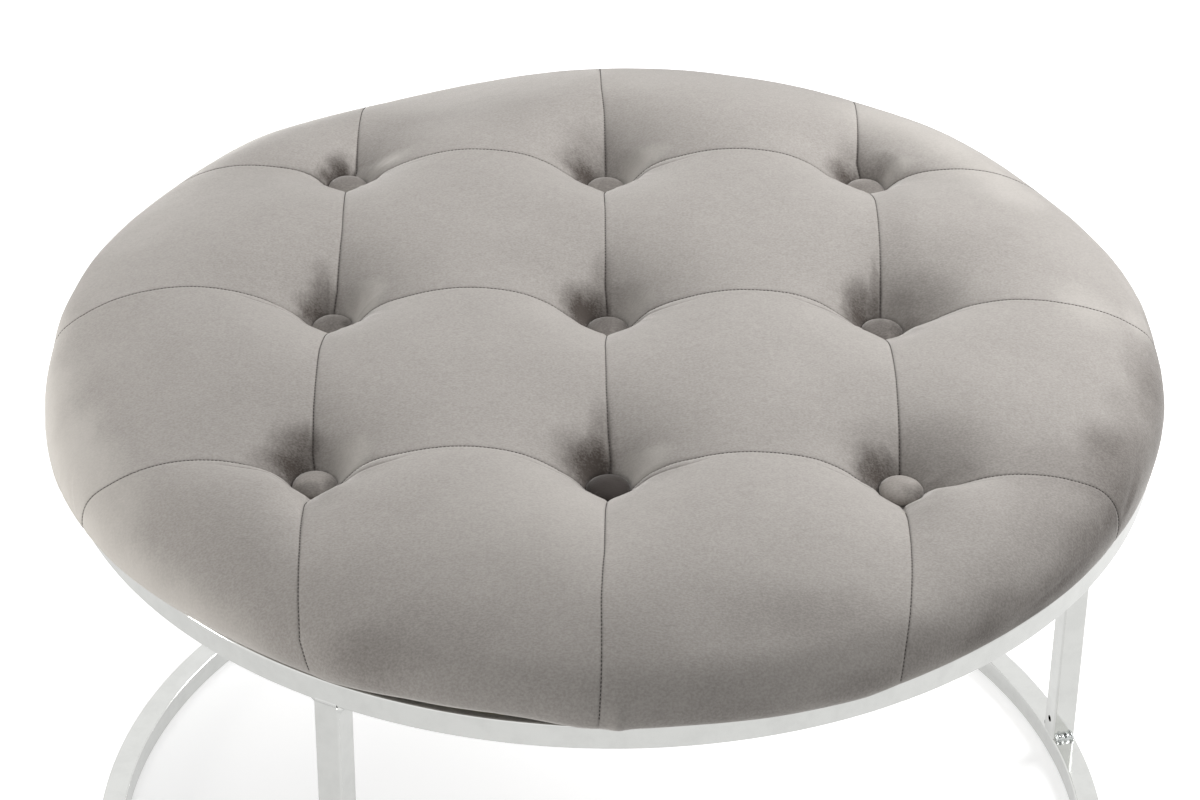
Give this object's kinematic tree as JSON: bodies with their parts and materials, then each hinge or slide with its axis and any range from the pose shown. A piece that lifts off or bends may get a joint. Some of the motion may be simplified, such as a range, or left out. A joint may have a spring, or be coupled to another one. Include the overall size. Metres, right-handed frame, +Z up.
{
  "type": "ottoman coffee table",
  "caption": "Low round ottoman table with a deep button-tufted velvet seat on a bright square-tube frame of two rings joined by upright legs.",
  "frame": {"origin": "on the floor, under the middle of the two rings", "axes": "+Z up, the seat's seams run along X and Y, and -Y is the front that the picture looks at"},
  "size_m": [0.8072, 0.8072, 0.5195],
  "materials": {
    "polished_frame": "polished",
    "weld_metal": "gloss",
    "zinc_hardware": "satin",
    "plywood": "matte",
    "foam": "matte",
    "velvet": "matte",
    "dust_cloth": "matte",
    "core_plastic": "satin",
    "twine": "matte",
    "glide_plastic": "satin"
  },
  "bodies": {
    "root": {"seat_ring": "polished_frame", "base_ring": "polished_frame", "leg_front_left": "polished_frame", "leg_right": "polished_frame", "leg_back_left": "polished_frame", "seat_ring_welds": "weld_metal", "base_ring_welds": "weld_metal", "floor_glides": "glide_plastic", "seat_tab_front": "polished_frame", "seat_tab_right": "polished_frame", "seat_tab_back": "polished_frame", "seat_tab_left": "polished_frame", "tab_welds": "weld_metal", "seat_screws": "zinc_hardware", "screw_washers": "zinc_hardware", "tee_nuts": "zinc_hardware", "seat_board": "plywood", "foam_pad": "foam", "velvet_cover": "velvet", "cover_staples": "zinc_hardware", "dust_cover": "dust_cloth", "dust_cover_staples": "zinc_hardware", "tuft_button_caps": "velvet", "tuft_button_cores": "core_plastic", "tuft_button_loops": "zinc_hardware", "tuft_cords": "twine", "cord_washers": "core_plastic"}
  },
  "joints": []
}
